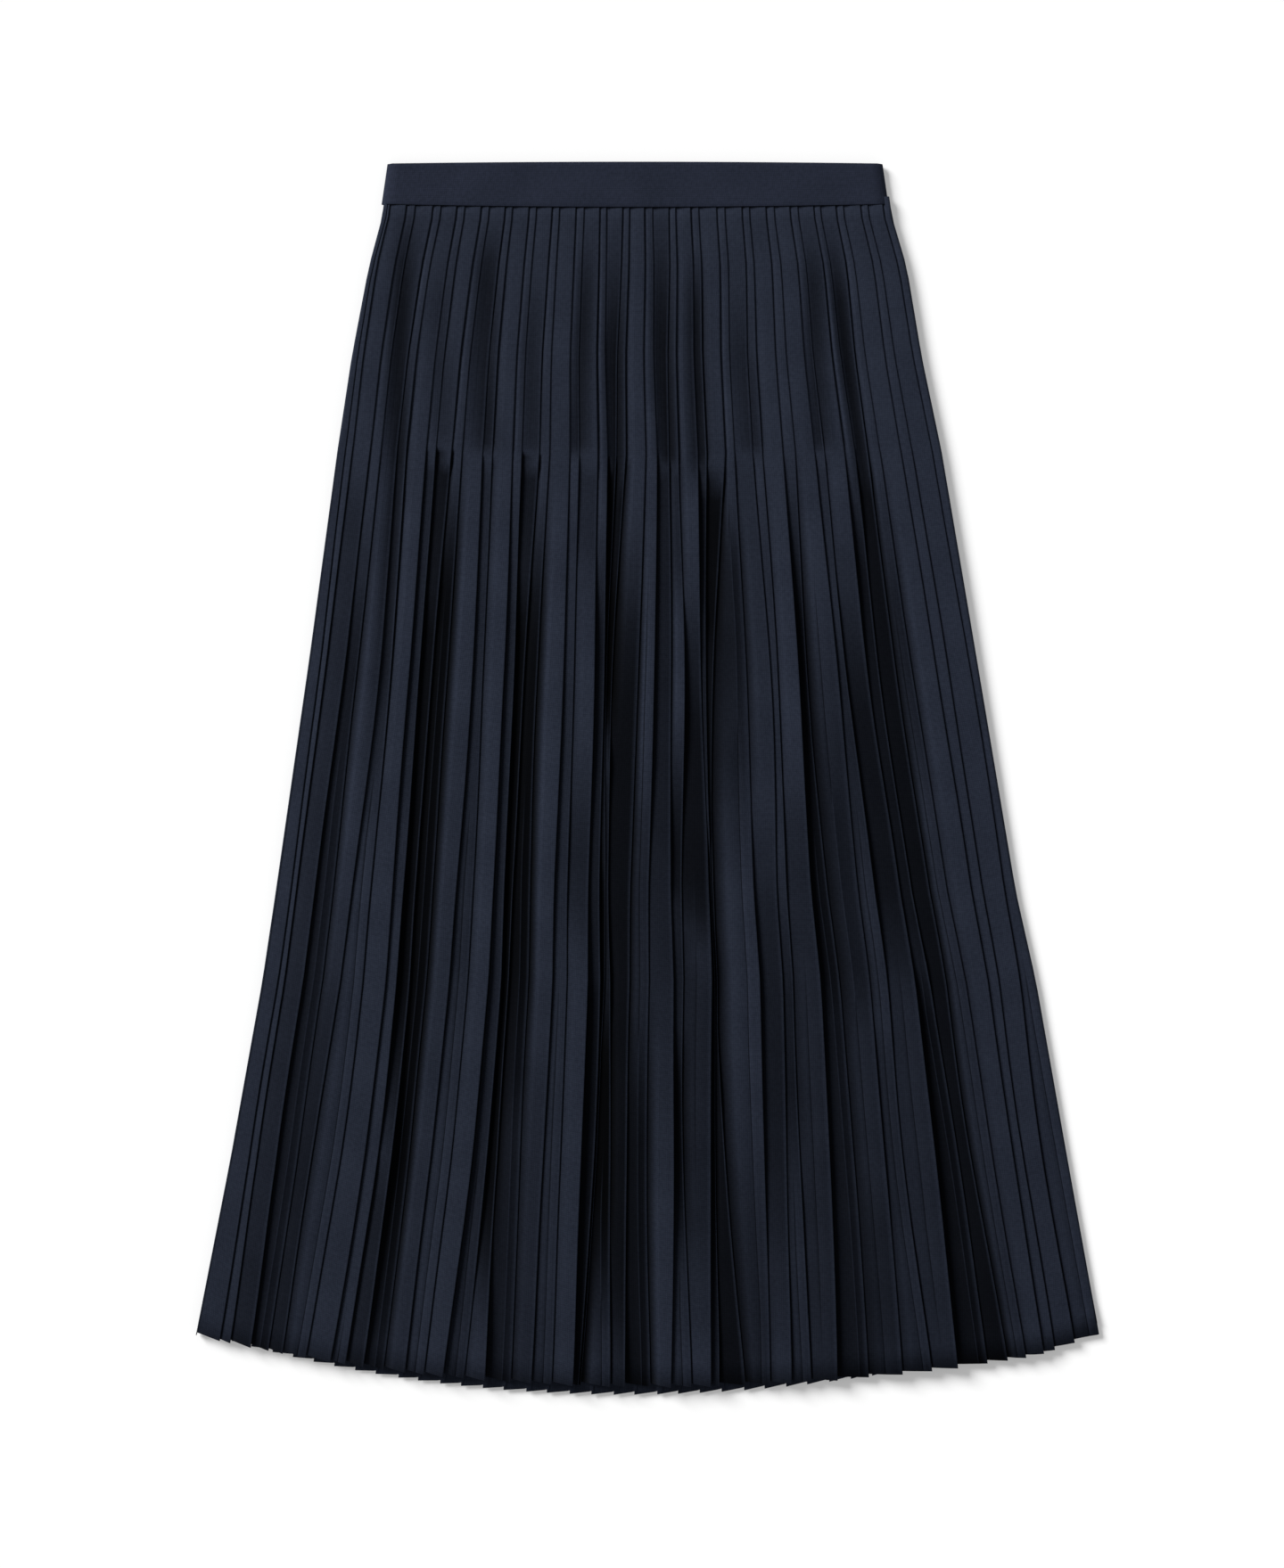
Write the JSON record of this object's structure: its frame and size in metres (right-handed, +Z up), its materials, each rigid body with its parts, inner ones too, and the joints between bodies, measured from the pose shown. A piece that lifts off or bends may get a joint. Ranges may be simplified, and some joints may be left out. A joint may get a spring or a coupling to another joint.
{
  "type": "pleated midi skirt",
  "caption": "Knife-pleated midi skirt with a plain waistband, laid flat with its front panel over its back panel.",
  "frame": {"origin": "under the middle of the skirt as it lies, on the surface it lies on", "axes": "+Y from the hem to the waistband, +X to the right as seen from above, +Z up out of the surface"},
  "size_m": [0.6074, 0.8292, 0.0141],
  "materials": {
    "pleated_crepe": "matte plain-weave crepe, navy, pressed pleats",
    "waistband_crepe": "matte plain-weave crepe, navy, doubled and pressed flat"
  },
  "bodies": {
    "root": {"front_panel": "pleated_crepe", "back_panel": "pleated_crepe", "waistband_front": "waistband_crepe", "waistband_back": "waistband_crepe"}
  },
  "joints": []
}
